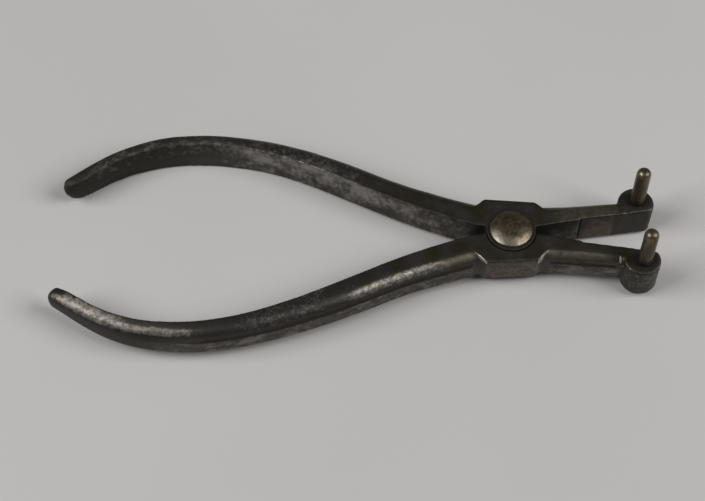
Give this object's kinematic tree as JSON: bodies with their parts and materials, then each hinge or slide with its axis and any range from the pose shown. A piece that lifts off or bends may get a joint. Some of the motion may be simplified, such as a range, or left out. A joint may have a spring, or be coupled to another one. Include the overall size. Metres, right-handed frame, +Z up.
{
  "type": "umbilical clamp applicator",
  "caption": "Reverse-action forged steel pliers with a riveted half-lap joint and upright round-ended jaw pins that hold an umbilical clamp open and place it.",
  "frame": {"origin": "on the pivot axis, in the plane of the underside that the tool rests on", "axes": "+Z up along the pivot and the pins, +X from the pivot towards the jaws, +Y towards the rear lever"},
  "size_m": [0.2046, 0.0832, 0.0302],
  "materials": {
    "forged_steel": "dark patina, worn to bare grey metal on the shoulders and edges",
    "rivet_steel": "peened and worn, with brown stains",
    "pin_steel": "smooth, with a brownish bronze tone"
  },
  "bodies": {
    "front": {"lever_front": "forged_steel", "pivot_rivet": "rivet_steel", "pin_front": "pin_steel"},
    "rear": {"lever_rear": "forged_steel", "pin_rear": "pin_steel"}
  },
  "joints": [
    {"name": "pivot", "type": "hinge", "parent": "front", "child": "rear", "pos_m": [0, 0, 0.00635], "axis": [0, 0, 1], "range_deg": [-18.5, 14.5]}
  ]
}
